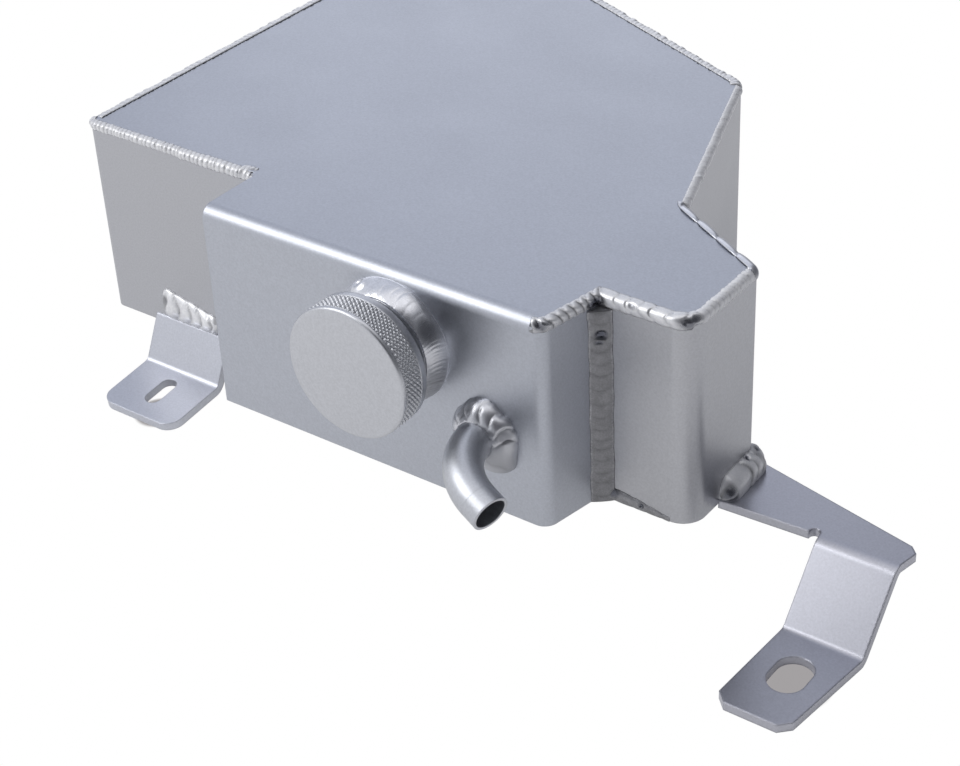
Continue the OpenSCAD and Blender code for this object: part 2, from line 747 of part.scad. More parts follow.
module weld_far_seam() {
    color("whitesmoke")
        placed()
            upright_bead([run_point(FAR, far_tab + far_bead_w / 2, 0),
                          run_point(FAR, far_tab - far_bead_w / 2, 0)],
                         far_bead_crown, fine_pitch);
}

// Bead inside the tank, between the left strip's end and the folded sheet
module weld_front_end() {
    leg = fold_in * 0.7;
    steps = 4;
    line = concat([[[sheet_t, sheet_t], [1, 0]]],
                  [for (k = [0:steps]) let (v = spoke(180 - 90 * k / steps))
                      [fold_middle + fold_in * v, -v]],
                  [[[run_start(INNER)[1], wall_h], [0, -1]]]);
    color("whitesmoke")
        placed()
            sweep([for (q = line)
                let (a = q[0], b = q[0] + leg * q[1])
                [[sheet_t, a[0], a[1]], [sheet_t, b[0], b[1]], [sheet_t + leg, a[0], a[1]]]]);
}

// Flush seam round the base plate
module weld_base() {
    color("whitesmoke")
        placed()
            linear_extrude(base_seam)
                difference() {
                    polygon(arc_plan(sheet_t));
                    polygon(arc_plan(sheet_t + base_seam));
                }
}

// Repair bead along the foot of the step's face
module weld_base_step() {
    start = plan[STEP] + (corner_leg + overrun) * dir_out(STEP);
    color("whitesmoke")
        placed()
            bead(stations([start, run_end(STEP)], broad_pitch),
                 [[0, foot_bead_w], [0, 0]], foot_bead_crown);
}

// Round bead of width w and height h about a tube of radius r on the front face
module ring_bead(x, z, r, w, h, back) {
    translate([x, 0, z])
        rotate([90, 0, 0])
            rotate_extrude()
                polygon(concat([[r, h], [r, -back], [r + w, -back], [r + w, 0]],
                               [for (k = [1:4]) let (t = k / 5)
                                   [r + w * (1 - t) * (1 - t / 3), h * t * (1 + (1 - t) / 3)]]));
}

module weld_neck() {
    color("whitesmoke")
        placed()
            difference() {
                ring_bead(neck_x, neck_z, collar_r, neck_bead_w, neck_bead_h, overrun);
                cube([front_w, step_depth, tank_h - fold_r]);
                translate([0, fold_r, tank_h - fold_r])
                    rotate([0, 90, 0]) cylinder(h = front_w, r = fold_r);
            }
}

module weld_spigot() {
    color("whitesmoke")
        placed() ring_bead(spigot_x, spigot_z, spigot_r, spigot_bead_w, spigot_bead_h, 0);
}

// Bead over the left bracket, higher at its left end
module weld_left_bracket() {
    n = 15;
    x0 = left_x + left_w * 0.12;
    x1 = left_x + left_w * 0.88;
    toe = [wing_back, left_root_z] + bar_bead_w * left_down;
    color("whitesmoke")
        placed()
            sweep([for (k = [0:n])
                let (x = x0 + (x1 - x0) * k / n, top = left_bead_h * (1 - k / n / 2),
                     a = [wing_back, left_root_z + top])
                [for (q = concat([a, [wing_back, left_root_z], toe],
                                 [for (p = crown(toe, a, -bar_bead_crown * ripple(k))) p]))
                    [x, q[0], q[1]]]]);
}

// Bead between the wall and the right arm, round the shoulder's bend
module weld_right_bracket() {
    color("whitesmoke")
        placed()
            bead(stations(concat([[right_x, arm_y + overrun]], corner_points(SHOULDER, 0),
                                 [run_start(SHOULDER) + 3 * dir_out(SHOULDER)]), 2 * broad_pitch),
                 [[0, right_bead_h], [0, arm_top], [bar_bead_w, arm_top]], bar_bead_crown);
}

top_front_sheet();
right_wall_strip();
left_wall_strip();
base_plate();
filler_neck();
filler_cap();
cap_seal();
hose_spigot();
pickup_tube();
left_bracket();
right_bracket();
weld_top_step();
weld_top_shoulder();
weld_top_tail();
weld_top_rear();
weld_top_left();
weld_top_wing();
weld_step_corner();
weld_far_seam();
weld_front_end();
weld_base();
weld_base_step();
weld_neck();
weld_spigot();
weld_left_bracket();
weld_right_bracket();
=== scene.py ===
"""Looks of the coolant expansion tank: camera, studio light, materials and fine weld beads.

Lengths in the tables below are millimetres in the plan frame of the part: x along the
front face from its left end, y from the front face towards the rear, z up from the base.
"""
import math
import random

import bpy
from mathutils import Matrix, Vector


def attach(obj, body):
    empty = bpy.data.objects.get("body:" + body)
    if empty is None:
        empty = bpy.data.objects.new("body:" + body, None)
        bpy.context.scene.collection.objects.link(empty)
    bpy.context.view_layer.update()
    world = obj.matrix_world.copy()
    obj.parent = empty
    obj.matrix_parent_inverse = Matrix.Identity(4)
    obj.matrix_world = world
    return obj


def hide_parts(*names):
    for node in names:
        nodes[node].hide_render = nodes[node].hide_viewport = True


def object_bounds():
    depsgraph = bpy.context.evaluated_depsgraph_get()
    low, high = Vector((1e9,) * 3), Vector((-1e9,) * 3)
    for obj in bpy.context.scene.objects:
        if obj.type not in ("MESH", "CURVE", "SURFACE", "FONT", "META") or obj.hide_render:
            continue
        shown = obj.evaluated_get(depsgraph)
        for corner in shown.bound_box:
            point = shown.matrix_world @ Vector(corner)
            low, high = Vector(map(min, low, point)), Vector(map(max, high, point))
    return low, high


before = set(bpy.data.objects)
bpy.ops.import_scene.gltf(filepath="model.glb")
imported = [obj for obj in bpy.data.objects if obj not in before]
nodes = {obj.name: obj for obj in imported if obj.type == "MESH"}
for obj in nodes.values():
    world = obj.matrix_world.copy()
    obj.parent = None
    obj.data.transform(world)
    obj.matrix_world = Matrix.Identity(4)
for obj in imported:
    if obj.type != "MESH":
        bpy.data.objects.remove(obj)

cad_low, cad_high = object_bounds()
scene = bpy.context.scene

MM = 0.001

# Point of the plan frame that the shared frame starts from
DATUM = (66.75, 26.3, 0.0)

# Camera of the photograph, in millimetres from the datum
CAMERA_AT = Vector((365.43, -439.0, 391.46)) * MM
CAMERA_TARGET = Vector((37.79, -18.96, 40.0)) * MM
CAMERA_ROLL = math.radians(-3.06)
CAMERA_LENS = 77.57
SENSOR = 36

# Plan of the tank, counter-clockwise from the left end of the front face
PLAN = [(0, 0), (133.5, 0), (138, 24), (171, 24), (171, 61), (132, 83), (101.5, 170.6),
        (-79, 248.6), (-79, 26.3), (0, 26.3)]
BENDS = [0, 5, 0, 8, 4, 4, 8, 12, 4, 1.5]
FRONT_LEFT, FRONT_RIGHT, STEP, SIDE, SHOULDER, WAIST, TAIL, FAR, WING, INNER = range(len(PLAN))

# Distance of the upright seam on the left side from the far corner's bend
FAR_TAB = 12.0

# Axes of the neck and of the spigot's root on the front face: x and z
NECK = (77.5, 51.0)
SPIGOT = (111.5, 29.0)

# Outer radius of the fold between the top plate and the front face
FOLD_R = 4.5

# Heights of the plate's top and of the walls' top, reach of the walls past the plate's edge,
# and height at which the upright beads meet the top seams
TANK_H = 75
WALL_H = 72.5
LAP = 1.25
SEAM_FOOT = 70.4

# How far a bead may stand out from the wall and above the plate, proud or nearly flush
PROUD = (1.42, 0.9)
FLUSH = (0.7, 0.45)

# Depth of a bead's hidden root under the plate and on a single wall or flange
ROOT_IN = 0.2
SUNK = 0.3

# Spacing of the stations along a fine bead, and steps across it
STATION = 0.42
ACROSS = 16


def add_camera():
    data = bpy.data.cameras.new("camera")
    data.lens = CAMERA_LENS
    data.sensor_width = SENSOR
    data.clip_start = 0.01
    camera = bpy.data.objects.new("camera", data)
    scene.collection.objects.link(camera)
    look = (CAMERA_TARGET - CAMERA_AT).to_track_quat("-Z", "Y").to_matrix().to_4x4()
    roll = Matrix.Rotation(CAMERA_ROLL, 4, "Z")
    camera.matrix_world = Matrix.Translation(CAMERA_AT) @ look @ roll
    scene.camera = camera


# Light and floor

# Point that the lights face, in metres
STUDIO_MIDDLE = Vector((0.0, 0.05, 0.03))


def add_area(name, direction, distance, size, radiance, colour=(1, 1, 1)):
    """A soft box that faces the tank from a direction, with the brightness it is seen at."""
    data = bpy.data.lights.new(name, "AREA")
    data.shape = "RECTANGLE"
    data.size, data.size_y = size
    data.energy = radiance * math.pi * size[0] * size[1]
    data.color = colour
    lamp = bpy.data.objects.new(name, data)
    scene.collection.objects.link(lamp)
    at = STUDIO_MIDDLE + Vector(direction).normalized() * distance
    look = (STUDIO_MIDDLE - at).to_track_quat("-Z", "Y").to_matrix().to_4x4()
    lamp.matrix_world = Matrix.Translation(at) @ look


# Painted contact shade in the floor's colour, seen through the slots of the flanges: x, y and
# radius
FLANGE_SHADE = [(152.0, -23.5, 13.0), (-108.0, -20.5, 10.0)]
FLANGE_SHADE_TINT = (0.37, 0.355, 0.36)
FLANGE_SHADE_CORE = 0.8

# Floor: half its side in metres, its gap below the part in millimetres, its colour
FLOOR_HALF = 3.0
FLOOR_GAP = 0.3
FLOOR_MATT = (0.93, 0.925, 0.92)

# Share of the pale background in what the metal reflects of the floor
FLOOR_GLOW = 0.3

# Regions of the studio: direction, cosine at the middle's edge and at the outer edge,
# colour and brightness
STUDIO_BASE = (0.34, 0.35, 0.38)
STUDIO = [
    ((0.00, 0.00, 1.00), 0.98, 0.72, (1.05, 1.05, 1.08)),
    ((-0.66, 0.58, 0.44), 0.92, 0.50, (0.58, 0.61, 0.70)),
    ((-0.75, -0.55, 0.15), 0.95, 0.60, (0.80, 0.81, 0.84)),
    ((0.30, 0.85, 0.42), 0.95, 0.70, (0.16, 0.165, 0.19)),
    ((0.55, -0.66, 0.50), 0.96, 0.72, (0.05, 0.05, 0.06)),
    ((0.95, 0.10, 0.25), 0.92, 0.60, (0.16, 0.165, 0.18)),
]


def add_world():
    world = bpy.data.worlds.new("studio")
    scene.world = world
    world.use_nodes = True
    tree = world.node_tree
    tree.nodes.clear()
    place = tree.nodes.new("ShaderNodeTexCoord")
    colour = None
    for direction, inner, outer, tint in STUDIO:
        dot = tree.nodes.new("ShaderNodeVectorMath")
        dot.operation = "DOT_PRODUCT"
        tree.links.new(place.outputs["Generated"], dot.inputs[0])
        dot.inputs[1].default_value = Vector(direction).normalized()
        share = tree.nodes.new("ShaderNodeMapRange")
        share.interpolation_type = "SMOOTHSTEP"
        share.inputs["From Min"].default_value = outer
        share.inputs["From Max"].default_value = inner
        tree.links.new(dot.outputs["Value"], share.inputs["Value"])
        mix = tree.nodes.new("ShaderNodeMix")
        mix.data_type = "RGBA"
        tree.links.new(share.outputs["Result"], mix.inputs["Factor"])
        if colour is None:
            mix.inputs["A"].default_value = (*STUDIO_BASE, 1)
        else:
            tree.links.new(colour, mix.inputs["A"])
        mix.inputs["B"].default_value = (*tint, 1)
        colour = mix.outputs["Result"]
    path = tree.nodes.new("ShaderNodeLightPath")
    seen = tree.nodes.new("ShaderNodeBackground")
    seen.inputs["Color"].default_value = (1, 1, 1, 1)
    fill = tree.nodes.new("ShaderNodeBackground")
    tree.links.new(colour, fill.inputs["Color"])
    mix = tree.nodes.new("ShaderNodeMixShader")
    out = tree.nodes.new("ShaderNodeOutputWorld")
    tree.links.new(path.outputs["Is Camera Ray"], mix.inputs[0])
    tree.links.new(fill.outputs[0], mix.inputs[1])
    tree.links.new(seen.outputs[0], mix.inputs[2])
    tree.links.new(mix.outputs[0], out.inputs["Surface"])


def add_floor():
    low = cad_low[2] - FLOOR_GAP * MM
    signs = [(-1, -1), (1, -1), (1, 1), (-1, 1)]
    mesh = bpy.data.meshes.new("floor")
    mesh.from_pydata([(i * FLOOR_HALF, j * FLOOR_HALF, low) for i, j in signs], [], [(0, 1, 2, 3)])
    floor = bpy.data.objects.new("floor", mesh)
    scene.collection.objects.link(floor)
    material = bpy.data.materials.new("floor_white")
    material.use_nodes = True
    tree = material.node_tree
    tree.nodes.clear()
    path = tree.nodes.new("ShaderNodeLightPath")
    glow = tree.nodes.new("ShaderNodeEmission")
    shade = None
    place = tree.nodes.new("ShaderNodeTexCoord")
    # Painted shade: a grey disc in the floor's glow colour under each flange
    for x, y, radius in FLANGE_SHADE:
        gap = tree.nodes.new("ShaderNodeVectorMath")
        gap.operation = "DISTANCE"
        tree.links.new(place.outputs["Object"], gap.inputs[0])
        gap.inputs[1].default_value = (x * MM, y * MM, low)
        share = tree.nodes.new("ShaderNodeMapRange")
        share.interpolation_type = "SMOOTHSTEP"
        share.inputs["From Min"].default_value = radius * MM
        share.inputs["From Max"].default_value = FLANGE_SHADE_CORE * radius * MM
        tree.links.new(gap.outputs["Value"], share.inputs["Value"])
        shade = mixed(tree, share.outputs["Result"], shade or (1.0, 1.0, 1.0), FLANGE_SHADE_TINT)
    tree.links.new(shade, glow.inputs["Color"])
    matt = tree.nodes.new("ShaderNodeBsdfDiffuse")
    matt.inputs["Color"].default_value = (*FLOOR_MATT, 1)
    mix = tree.nodes.new("ShaderNodeMixShader")
    out = tree.nodes.new("ShaderNodeOutputMaterial")
    glossy = tree.nodes.new("ShaderNodeMath")
    glossy.operation = "MULTIPLY_ADD"
    glossy.inputs[1].default_value = FLOOR_GLOW
    glossy.use_clamp = True
    tree.links.new(path.outputs["Is Glossy Ray"], glossy.inputs[0])
    tree.links.new(path.outputs["Is Camera Ray"], glossy.inputs[2])
    tree.links.new(glossy.outputs[0], mix.inputs[0])
    tree.links.new(matt.outputs[0], mix.inputs[1])
    tree.links.new(glow.outputs[0], mix.inputs[2])
    tree.links.new(mix.outputs[0], out.inputs["Surface"])
    mesh.materials.append(material)


# Materials

# Values that the noise's greater part lies between
NOISE_LOW, NOISE_HIGH = 0.3, 0.7

# Clouding of the sheet metal: noise scale, and swing of its tint and of its roughness
CLOUD_SCALE, CLOUD_TINT, CLOUD_ROUGH = 26, 0.03, 0.03
BUMP_STRENGTH = 0.5
BEVEL_SAMPLES = 4

# Bead metal: noise scales of its specks and its patches
SPECK_SCALE, PATCH_SCALE = 1900, 420

# Gloss at which a bead has no frost, and share of its bare metal under the thickest frost
PLAIN_GLOSS = 0.15
FROST_SHARE = 0.3

# Painted shade tints of a dulled stretch and of a crease, painted dark reflection colour of a
# pool, roughness of dulled and of glossy stretches
DULL_SHADE_TINT, CREASE_SHADE_TINT = 0.62, 0.3
POOL_DARK_REFLECTION = (0.11, 0.115, 0.14)
DULL_ROUGH, GLOSS_ROUGH = 0.48, 0.17


def noise(tree, place, scale, detail=2.0):
    node = tree.nodes.new("ShaderNodeTexNoise")
    node.inputs["Scale"].default_value = scale
    node.inputs["Detail"].default_value = detail
    tree.links.new(place.outputs["Object"], node.inputs["Vector"])
    return node


def ranged(tree, value, low, high):
    node = tree.nodes.new("ShaderNodeMapRange")
    node.inputs["From Min"].default_value = NOISE_LOW
    node.inputs["From Max"].default_value = NOISE_HIGH
    node.inputs["To Min"].default_value = low
    node.inputs["To Max"].default_value = high
    tree.links.new(value, node.inputs["Value"])
    return node.outputs["Result"]


def mixed(tree, factor, a, b):
    """A colour between two. Each input is a socket or a fixed value."""
    node = tree.nodes.new("ShaderNodeMix")
    node.data_type = "RGBA"
    for name, value in (("Factor", factor), ("A", a), ("B", b)):
        if isinstance(value, tuple):
            node.inputs[name].default_value = (*value, 1)
        elif isinstance(value, float):
            node.inputs[name].default_value = value
        else:
            tree.links.new(value, node.inputs[name])
    return node.outputs["Result"]


def scaled(colour, factor):
    return tuple(min(1.0, c * factor) for c in colour)


def speckled(tree, value, colour, mottle):
    return mixed(tree, ranged(tree, value, 0, 1), scaled(colour, 1 - mottle),
                 scaled(colour, 1 + mottle))


def bumped(tree, shader, height, relief):
    """A bump node on the shader's normal, with the relief in millimetres."""
    bump = tree.nodes.new("ShaderNodeBump")
    bump.inputs["Strength"].default_value = BUMP_STRENGTH
    bump.inputs["Distance"].default_value = relief * MM
    tree.links.new(height, bump.inputs["Height"])
    tree.links.new(bump.outputs["Normal"], shader.inputs["Normal"])
    return bump


def new_material(name):
    """A material with its node tree, its shader and its texture coordinates."""
    material = bpy.data.materials.new(name)
    material.use_nodes = True
    tree = material.node_tree
    return material, tree, tree.nodes["Principled BSDF"], tree.nodes.new("ShaderNodeTexCoord")


def metal(name, colour, rough, grain=1500, relief=0.02, mottle=0.12, edge=0.4):
    """Satin metal: a fine grain in colour and relief, slow clouding, softened edges."""
    material, tree, shader, place = new_material(name)
    shader.inputs["Metallic"].default_value = 1.0
    fine = noise(tree, place, grain, 3).outputs["Fac"]
    cloud = noise(tree, place, CLOUD_SCALE, 3).outputs["Fac"]
    clouded = mixed(tree, cloud, scaled(colour, 1 - CLOUD_TINT), scaled(colour, 1 + CLOUD_TINT))
    even = mixed(tree, 0.5, clouded, speckled(tree, fine, colour, mottle))
    tree.links.new(even, shader.inputs["Base Color"])
    tree.links.new(ranged(tree, cloud, rough - CLOUD_ROUGH, rough + CLOUD_ROUGH),
                   shader.inputs["Roughness"])
    soft = tree.nodes.new("ShaderNodeBevel")
    soft.samples = BEVEL_SAMPLES
    soft.inputs["Radius"].default_value = edge * MM
    bump = bumped(tree, shader, fine, relief)
    tree.links.new(soft.outputs["Normal"], bump.inputs["Normal"])
    return material


def weld_metal(name, colour, rough, clear, mottle=0.1, relief=0.02):
    """Bead metal: frosted crests, creases and dulled stretches darkened by painted shade, and
    glossy pools painted dark as a reflection, from mesh values.

    clear is the share of bare metal under the frost, which gloss below PLAIN_GLOSS thickens.
    """
    material, tree, shader, place = new_material(name)
    fine = noise(tree, place, SPECK_SCALE, 3).outputs["Fac"]
    cloud = noise(tree, place, PATCH_SCALE, 4).outputs["Fac"]
    look = tree.nodes.new("ShaderNodeAttribute")
    look.attribute_name = "look"
    parts = tree.nodes.new("ShaderNodeSeparateColor")
    tree.links.new(look.outputs["Color"], parts.inputs["Color"])
    even = mixed(tree, 0.5, speckled(tree, fine, colour, mottle),
                 speckled(tree, cloud, colour, mottle))
    # Painted shade darkens the dulled stretches and the creases, and a painted dark reflection
    # fills the pools
    shade_dulled = mixed(tree, look.outputs["Alpha"], even, scaled(colour, DULL_SHADE_TINT))
    crease_shaded = mixed(tree, parts.outputs["Red"], shade_dulled, scaled(colour, CREASE_SHADE_TINT))
    pool_dark_reflected = mixed(tree, parts.outputs["Green"], crease_shaded, POOL_DARK_REFLECTION)
    tree.links.new(pool_dark_reflected, shader.inputs["Base Color"])
    frost = tree.nodes.new("ShaderNodeMapRange")
    frost.inputs["From Max"].default_value = PLAIN_GLOSS
    frost.inputs["To Min"].default_value = FROST_SHARE * clear
    frost.inputs["To Max"].default_value = clear
    tree.links.new(parts.outputs["Blue"], frost.inputs["Value"])
    bare = tree.nodes.new("ShaderNodeMapRange")
    tree.links.new(frost.outputs["Result"], bare.inputs["To Min"])
    tree.links.new(parts.outputs["Green"], bare.inputs["Value"])
    tree.links.new(bare.outputs["Result"], shader.inputs["Metallic"])
    dull_shaded = tree.nodes.new("ShaderNodeMapRange")
    dull_shaded.inputs["To Min"].default_value = rough
    dull_shaded.inputs["To Max"].default_value = DULL_ROUGH
    tree.links.new(look.outputs["Alpha"], dull_shaded.inputs["Value"])
    gloss = tree.nodes.new("ShaderNodeMix")
    gloss.inputs["B"].default_value = GLOSS_ROUGH
    tree.links.new(parts.outputs["Blue"], gloss.inputs["Factor"])
    tree.links.new(dull_shaded.outputs["Result"], gloss.inputs["A"])
    tree.links.new(gloss.outputs["Result"], shader.inputs["Roughness"])
    bumped(tree, shader, fine, relief)
    return material


def dress(node, material):
    data = nodes[node].data
    data.materials.clear()
    data.materials.append(material)


# Plan geometry

def unit(v):
    n = math.hypot(*v)
    return (v[0] / n, v[1] / n)


def outward(v):
    return (v[1], -v[0])


def along(i):
    a, b = PLAN[i % len(PLAN)], PLAN[(i + 1) % len(PLAN)]
    return unit((b[0] - a[0], b[1] - a[1]))


def turn(i):
    a, b = along(i - 1), along(i)
    return math.atan2(a[0] * b[1] - a[1] * b[0], a[0] * b[0] + a[1] * b[1])


def cut(i):
    return BENDS[i % len(PLAN)] * math.tan(abs(turn(i)) / 2)


def corner(i):
    """Points and outward directions of a plan corner, on its arc."""
    p, a, b = PLAN[i % len(PLAN)], along(i - 1), along(i)
    if BENDS[i % len(PLAN)] == 0:
        oa, ob = outward(a), outward(b)
        k = 1 + oa[0] * ob[0] + oa[1] * ob[1]
        return [(p, ((oa[0] + ob[0]) / k, (oa[1] + ob[1]) / k))]
    r, t, c = BENDS[i % len(PLAN)], turn(i), cut(i)
    hand = 1 if t > 0 else -1
    o = outward(a)
    middle = (p[0] - c * a[0] - hand * r * o[0], p[1] - c * a[1] - hand * r * o[1])
    start = math.atan2(hand * o[1], hand * o[0])
    out = []
    steps = max(4, int(abs(t) * r / STATION) + 1)
    for k in range(steps + 1):
        q = start + t * k / steps
        spoke = (math.cos(q), math.sin(q))
        out.append(((middle[0] + r * spoke[0], middle[1] + r * spoke[1]),
                    (hand * spoke[0], hand * spoke[1])))
    return out


def run_start(i):
    p, d = PLAN[i % len(PLAN)], along(i)
    return ((p[0] + cut(i) * d[0], p[1] + cut(i) * d[1]), outward(d))


def run_end(i):
    p, d, c = PLAN[(i + 1) % len(PLAN)], along(i), cut(i + 1)
    return ((p[0] - c * d[0], p[1] - c * d[1]), outward(d))


def on_run(i, length):
    """A point of a wall's outer face at a length past its bend, with its outward direction."""
    (x, y), out = run_start(i)
    dx, dy = along(i)
    return (x + length * dx, y + length * dy), out


def resampled(path, step=STATION):
    """Stations at even lengths along a path: point, outward direction, length so far."""
    out, total = [], 0.0
    for (p, n), (q, m) in zip(path, path[1:]):
        length = math.dist(p, q)
        if length < 1e-6:
            continue
        count = max(1, round(length / step))
        for k in range(count):
            t = k / count
            mix = (n[0] + t * (m[0] - n[0]), n[1] + t * (m[1] - n[1]))
            out.append(((p[0] + t * (q[0] - p[0]), p[1] + t * (q[1] - p[1])), mix,
                        total + t * length))
        total += length
    out.append((path[-1][0], path[-1][1], total))
    return out


# Fine beads

def ripple(f):
    """Rounded lap of one pool over the last, from 0 in the crease to 1 on the crest."""
    return max(0.0, 1 - abs(2 * f - 1) ** 2.6) ** 0.6


def lined_up(rand, total, pitch, spread, closed=False):
    """Ends of the ripples along a bead, unevenly spaced."""
    marks, s = [0.0], 0.0
    while s < total:
        s += pitch(s) * rand.uniform(1 - spread, 1 + spread)
        marks.append(s)
    if closed:
        marks = [m * total / marks[-1] for m in marks]
    return marks


def phase(marks, s, closed=False):
    """Number of ripples before a length, with the share of the present one."""
    s = s % marks[-1] if closed else min(max(s, 0.0), marks[-1] - 1e-6)
    low, high = 0, len(marks) - 1
    while high - low > 1:
        mid = (low + high) // 2
        if marks[mid] <= s:
            low = mid
        else:
            high = mid
    return low + (s - marks[low]) / (marks[high] - marks[low])


def const(value):
    return lambda s: value


def plain_tone(s, t, look):
    return look


# Lighter crease shade, thickest frost and a little painted shade through the dullness
def smooth_tone(s, t, look):
    return 0.35 * look[0], look[1], 0.0, 0.1


# Thicker frost, with a little painted shade through the dullness
def frosted(s, t, look):
    return look[0], look[1], 0.1, 0.1


def bead_rows(lengths, root, toe_a, toe_b, crown, seed, pitch, depth, bow=const(1.2),
              slant=const(0.0), ridge=0.0, spread=0.28, scallop=0.3, pits=(), tone=plain_tone,
              ends=(1.5, 1.5), heart=None, limit=None, closed=False, across=ACROSS):
    """Rows of section points with their looks: crease shade, pool's painted dark reflection,
    gloss, and dullness with its painted shade.

    toe_a and toe_b give the bead's two edges in the section for a length along it. Its
    crown bulges to the right of the way from one to the other, and root closes it behind.
    bow carries the middle of each ripple ahead of its sides, slant carries one side ahead
    of the other, and ridge raises a thin ring at each ripple's end. heart is the point of
    the section that a rounded end shrinks to. A pit is a length, a place across, two half
    sizes, a depth and a darkness.
    """
    rand = random.Random(seed)
    total = lengths[-1]
    marks = lined_up(rand, total, pitch, spread, closed)
    sizes = [rand.uniform(0.75, 1.2) for _ in marks]
    lifts = [rand.uniform(-0.12, 0.12) for _ in marks]
    slips = [rand.uniform(-1, 1) for _ in marks]
    rows, looks = [], []
    for s in lengths:
        a, b = toe_a(s), toe_b(s)
        at = phase(marks, s, closed)
        d = unit((b[0] - a[0], b[1] - a[1]))
        wave = scallop * ripple(at % 1) * sizes[int(at)]
        slip = slips[int(at)] * scallop * 0.3 * ripple(at % 1)
        a = (a[0] - d[0] * (wave + slip), a[1] - d[1] * (wave + slip))
        b = (b[0] + d[0] * (wave - slip), b[1] + d[1] * (wave - slip))
        fade = 1.0
        if not closed:
            near = max(0.0, min(1.0, (s + 0.12) / ends[0], (total - s + 0.12) / ends[1]))
            fade = math.sqrt(1 - (1 - near) ** 2)
        if heart:
            a, b = (tuple(h + fade * (v - h) for h, v in zip(heart, end)) for end in (a, b))
        n = unit((b[1] - a[1], a[0] - b[0]))
        row, look = [], []
        for j in range(across + 1):
            t = j / across
            hump = 4 * t * (1 - t)
            at = phase(marks, s - bow(s) * (hump - 0.4) - slant(s) * (0.5 - t), closed)
            k, f = int(at), at % 1
            lap = ripple(f)
            lift = crown(s) * (1 + lifts[k]) + depth(s) * sizes[k] * (lap - 0.8)
            lift += ridge * math.exp(-((f - 0.9) / 0.06) ** 2)
            pool, gloss = 0.0, PLAIN_GLOSS
            # A pit's darkness paints a dark reflection into the pool's colour and makes it glossy
            for centre, side, half_s, half_t, drop, dark in pits:
                far = ((s - centre) / half_s) ** 2 + ((t - side) / half_t) ** 2
                here = math.exp(-far ** 2)
                lift -= drop * here
                pool = max(pool, dark * here)
                gloss = max(gloss, here * dark)
            h = lift * hump ** 0.85 * (fade if heart else 0.35 + 0.65 * fade)
            u = a[0] + t * (b[0] - a[0]) + h * n[0]
            v = a[1] + t * (b[1] - a[1]) + h * n[1]
            row.append(limit(u, v) if limit else (u, v))
            # Painted shade: how much the colour darkens in the crease between ripples
            crease = (1 - lap) ** 1.3 * min(1.0, depth(s) / 0.4) * (0.4 + 0.6 * hump)
            seen = tone(s, t, (crease, pool, gloss, 0.0))
            look.append(tuple(min(1.0, max(0.0, c)) for c in seen))
        back = root(s) if callable(root) else root
        rows.append(row + list(back))
        looks.append(look + [look[-1]] * len(back))
    return rows, looks


def carried(frames, rows):
    """Section points carried to their frames: an origin and the section's two directions."""
    return [[tuple(o[i] + u * eu[i] + v * ev[i] for i in range(3)) for u, v in row]
            for (o, eu, ev), row in zip(frames, rows)]


def plan_frames(stations):
    return [((p[0], p[1], 0.0), (n[0], n[1], 0.0), (0.0, 0.0, 1.0)) for p, n, _ in stations]


def skin(name, rings, looks=None, closed=False, smooth=None):
    """A closed mesh through rings of points in the plan frame.

    smooth is how many strips from a ring's first point are shaded smooth: all if None.
    """
    count, width = len(rings), len(rings[0])
    points = [((p[0] - DATUM[0]) * MM, (p[1] - DATUM[1]) * MM, p[2] * MM)
              for ring in rings for p in ring]
    faces = []
    for k in range(count if closed else count - 1):
        here, there = k * width, (k + 1) % count * width
        for j in range(width):
            n = (j + 1) % width
            faces.append((here + j, here + n, there + n, there + j))
    if not closed:
        faces.append(tuple(range(width - 1, -1, -1)))
        faces.append(tuple((count - 1) * width + j for j in range(width)))
    soft = [smooth is None or k % width < smooth for k in range(len(faces))]
    if not closed:
        soft[-2:] = [False, False]
    mesh = bpy.data.meshes.new(name)
    mesh.from_pydata(points, [], faces)
    mesh.update()
    if looks:
        look = mesh.color_attributes.new("look", "FLOAT_COLOR", "POINT")
        for k, value in enumerate(v for row in looks for v in row):
            look.data[k].color = value
    mesh.polygons.foreach_set("use_smooth", soft)
    piece = bpy.data.objects.new(name, mesh)
    scene.collection.objects.link(piece)
    return piece


def outward_faces(piece):
    """Turns all faces outward by the sign of the mesh's volume."""
    mesh = piece.data
    volume = 0.0
    for face in mesh.polygons:
        p = [mesh.vertices[i].co for i in face.vertices]
        for k in range(1, len(p) - 1):
            volume += p[0].dot(p[k].cross(p[k + 1]))
    if volume < 0:
        mesh.flip_normals()


def install(piece, node, material, body="tank"):
    piece.data.materials.append(material)
    outward_faces(piece)
    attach(piece, body)
    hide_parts(node)


def bead(node, material, frames, lengths, root, closed=False, across=ACROSS, **section):
    rows, looks = bead_rows(lengths, root, closed=closed, across=across, **section)
    rings = carried(frames, rows)
    if closed:
        rings, looks = rings[:-1], looks[:-1]
    install(skin("fine_" + node, rings, looks, closed, across), node, material)


def stepped(*runs):
    """A value for each run of a path: pairs of an end length and a value, with soft joins."""
    def value(s):
        last, began = runs[0][1], 0.0
        for end, v in runs:
            if s < end:
                return last + (v - last) * min(1.0, (s - began) / 1.0)
            last, began = v, end
        return last
    return value


def proud_limit(u, v):
    return min(u, PROUD[0]), min(v, TANK_H + PROUD[1])


def flush_limit(u, v):
    return min(u, FLUSH[0]), min(v, TANK_H + FLUSH[1])


def length_to(path, corner_point):
    """Length along a path at which it is nearest to a plan point."""
    return min(resampled(path), key=lambda q: math.dist(q[0], corner_point))[2]


